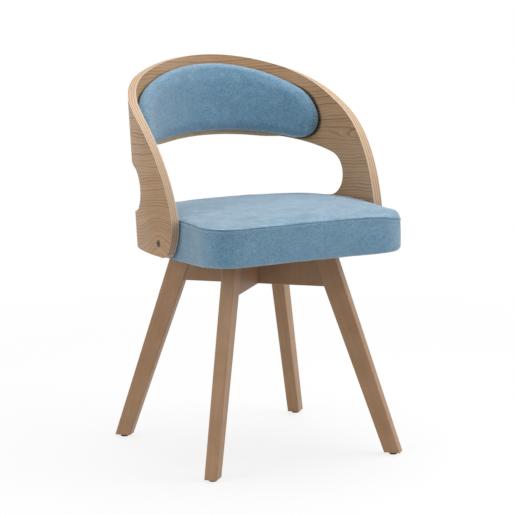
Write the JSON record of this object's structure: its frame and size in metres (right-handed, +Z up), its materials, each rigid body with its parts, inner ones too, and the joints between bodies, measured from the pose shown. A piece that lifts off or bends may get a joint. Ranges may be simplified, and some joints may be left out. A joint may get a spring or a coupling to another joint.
{
  "type": "swivel dining chair",
  "caption": "Round-backed swivel dining chair: bent plywood shell with a window, upholstered seat and back pad, splayed wooden legs on a cross.",
  "frame": {"origin": "on the floor under the middle of the chair's bounding box; the swivel axis is vertical through x = 0, y = 5.6 mm", "axes": "+Z up, -Y the way the sitter faces, +X the sitter's left"},
  "size_m": [0.4822, 0.4906, 0.7808],
  "materials": {
    "veneered_ply": "matt lacquered oak-look veneer on bent plywood, ply lines on the edges",
    "leg_wood": "matt lacquered beech",
    "inner_wood": "raw plywood and hardwood, hidden",
    "blue_fabric": "light blue woven upholstery fabric",
    "foam": "cut polyurethane foam, hidden",
    "black_cloth": "thin black non-woven cloth",
    "black_plastic": "black moulded plastic",
    "white_plastic": "natural nylon",
    "black_steel": "black powder-coated pressed steel",
    "zinc_steel": "zinc-plated steel",
    "bronze_steel": "antique bronze plated steel"
  },
  "bodies": {
    "base": {"cross_beam_lower": "leg_wood", "cross_beam_upper": "leg_wood", "glide_front_left": "black_plastic", "glide_front_right": "black_plastic", "glide_nails": "zinc_steel", "glide_rear_left": "black_plastic", "glide_rear_right": "black_plastic", "leg_dowels": "inner_wood", "leg_front_left": "leg_wood", "leg_front_right": "leg_wood", "leg_rear_left": "leg_wood", "leg_rear_right": "leg_wood", "swivel_base_plate": "black_steel", "base_plate_screws": "zinc_steel", "swivel_rivet": "zinc_steel"},
    "bearing": {"bearing_balls": "zinc_steel", "ball_cage": "white_plastic"},
    "seat": {"back_shell": "veneered_ply", "block_left": "inner_wood", "block_rear_left": "inner_wood", "block_rear_right": "inner_wood", "block_right": "inner_wood", "block_screws": "zinc_steel", "cover_staples": "zinc_steel", "pad_board": "inner_wood", "pad_clips": "white_plastic", "pad_cover": "blue_fabric", "pad_foam": "foam", "seat_board": "inner_wood", "seat_cover": "blue_fabric", "seat_dust_cover": "black_cloth", "seat_foam": "foam", "seat_plate_bolts": "zinc_steel", "shell_bolts": "bronze_steel", "shell_spacers": "white_plastic", "swivel_seat_plate": "black_steel", "t_nuts": "zinc_steel", "threaded_inserts": "zinc_steel"}
  },
  "joints": [
    {"name": "seat_swivel", "type": "hinge", "parent": "base", "child": "seat", "pos_m": [0, 0.00563, 0.4096], "axis": [0, 0, 1], "continuous": true},
    {"name": "cage_turn", "type": "hinge", "parent": "base", "child": "bearing", "pos_m": [0, 0.00563, 0.4096], "axis": [0, 0, 1], "continuous": true}
  ],
  "couplings": [
    {"joint": "cage_turn", "follows": "seat_swivel", "ratio": 0.5}
  ]
}
